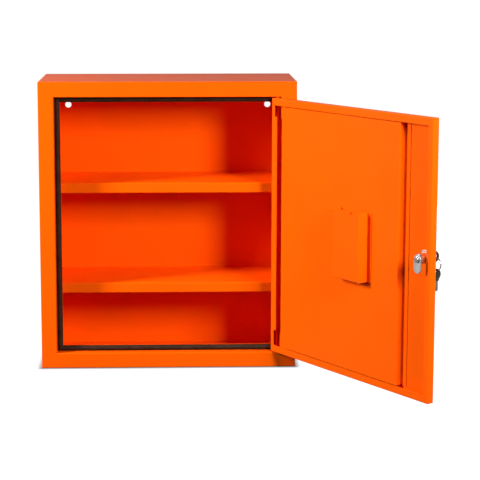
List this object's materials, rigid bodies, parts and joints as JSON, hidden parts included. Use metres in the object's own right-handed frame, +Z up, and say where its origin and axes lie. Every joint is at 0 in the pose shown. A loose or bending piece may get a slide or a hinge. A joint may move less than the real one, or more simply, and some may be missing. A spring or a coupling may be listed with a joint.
{
  "type": "lockable medicine cabinet",
  "caption": "Shallow wall cabinet of folded orange steel with fixed shelves, a sealed hinged door with a cam lock and keys, and a sheet pocket inside the door.",
  "frame": {"origin": "centre of the underside of the case, on the surface that it stands on", "axes": "+X to the right as seen from the front, +Y from the front to the back, +Z up"},
  "size_m": [0.582, 0.4373, 0.453],
  "materials": {
    "orange_coat": "satin powder coat",
    "seal_rubber": "matt",
    "zinc_steel": "zinc plated",
    "lock_nickel": "nickel plated",
    "cam_steel": "zinc plated, dull",
    "wafer_brass": "plain",
    "key_steel": "nickel plated",
    "key_plastic": "moulded, fine grain"
  },
  "bodies": {
    "cabinet": {"case_shell": "orange_coat", "back_panel": "orange_coat", "door_seal": "seal_rubber", "upper_shelf": "orange_coat", "lower_shelf": "orange_coat", "upper_left_support": "orange_coat", "upper_right_support": "orange_coat", "lower_left_support": "orange_coat", "lower_right_support": "orange_coat"},
    "door": {"door_skin": "orange_coat", "door_inner_panel": "orange_coat", "sheet_pocket": "orange_coat", "upper_hinge_pin": "orange_coat", "lower_hinge_pin": "orange_coat", "lock_body": "lock_nickel", "lock_clip": "zinc_steel"},
    "lock_plug": {"lock_plug": "lock_nickel", "lock_wafers": "wafer_brass", "lock_cam": "cam_steel", "cam_washer": "zinc_steel", "cam_screw": "lock_nickel"},
    "key": {"key_blade": "key_steel", "key_head": "key_plastic"},
    "key_ring": {"key_ring": "key_steel"},
    "spare_key": {"spare_key_blade": "key_steel", "spare_key_head": "key_plastic"}
  },
  "joints": [
    {"name": "door_hinge", "type": "hinge", "parent": "cabinet", "child": "door", "pos_m": [0.1702, -0.0738, 0.2265], "axis": [0, 0, 1], "range_deg": [-125, 0]},
    {"name": "lock_turn", "type": "hinge", "parent": "door", "child": "lock_plug", "pos_m": [0.36078, -0.3404, 0.2303], "axis": [-0.8192, -0.5736, 0], "range_deg": [0, 90]},
    {"name": "key_slide", "type": "slide", "parent": "lock_plug", "child": "key", "axis": [0.8192, 0.5736, 0], "range_m": [0, 0.0165]},
    {"name": "ring_swing", "type": "hinge", "parent": "key", "child": "key_ring", "pos_m": [0.37405, -0.33111, 0.22885], "axis": [0.5736, -0.8192, 0], "range_deg": [-6, 30]},
    {"name": "spare_swing", "type": "hinge", "parent": "key_ring", "child": "spare_key", "pos_m": [0.37405, -0.33111, 0.20985], "axis": [0.5736, -0.8192, 0], "range_deg": [-8, 30]}
  ]
}
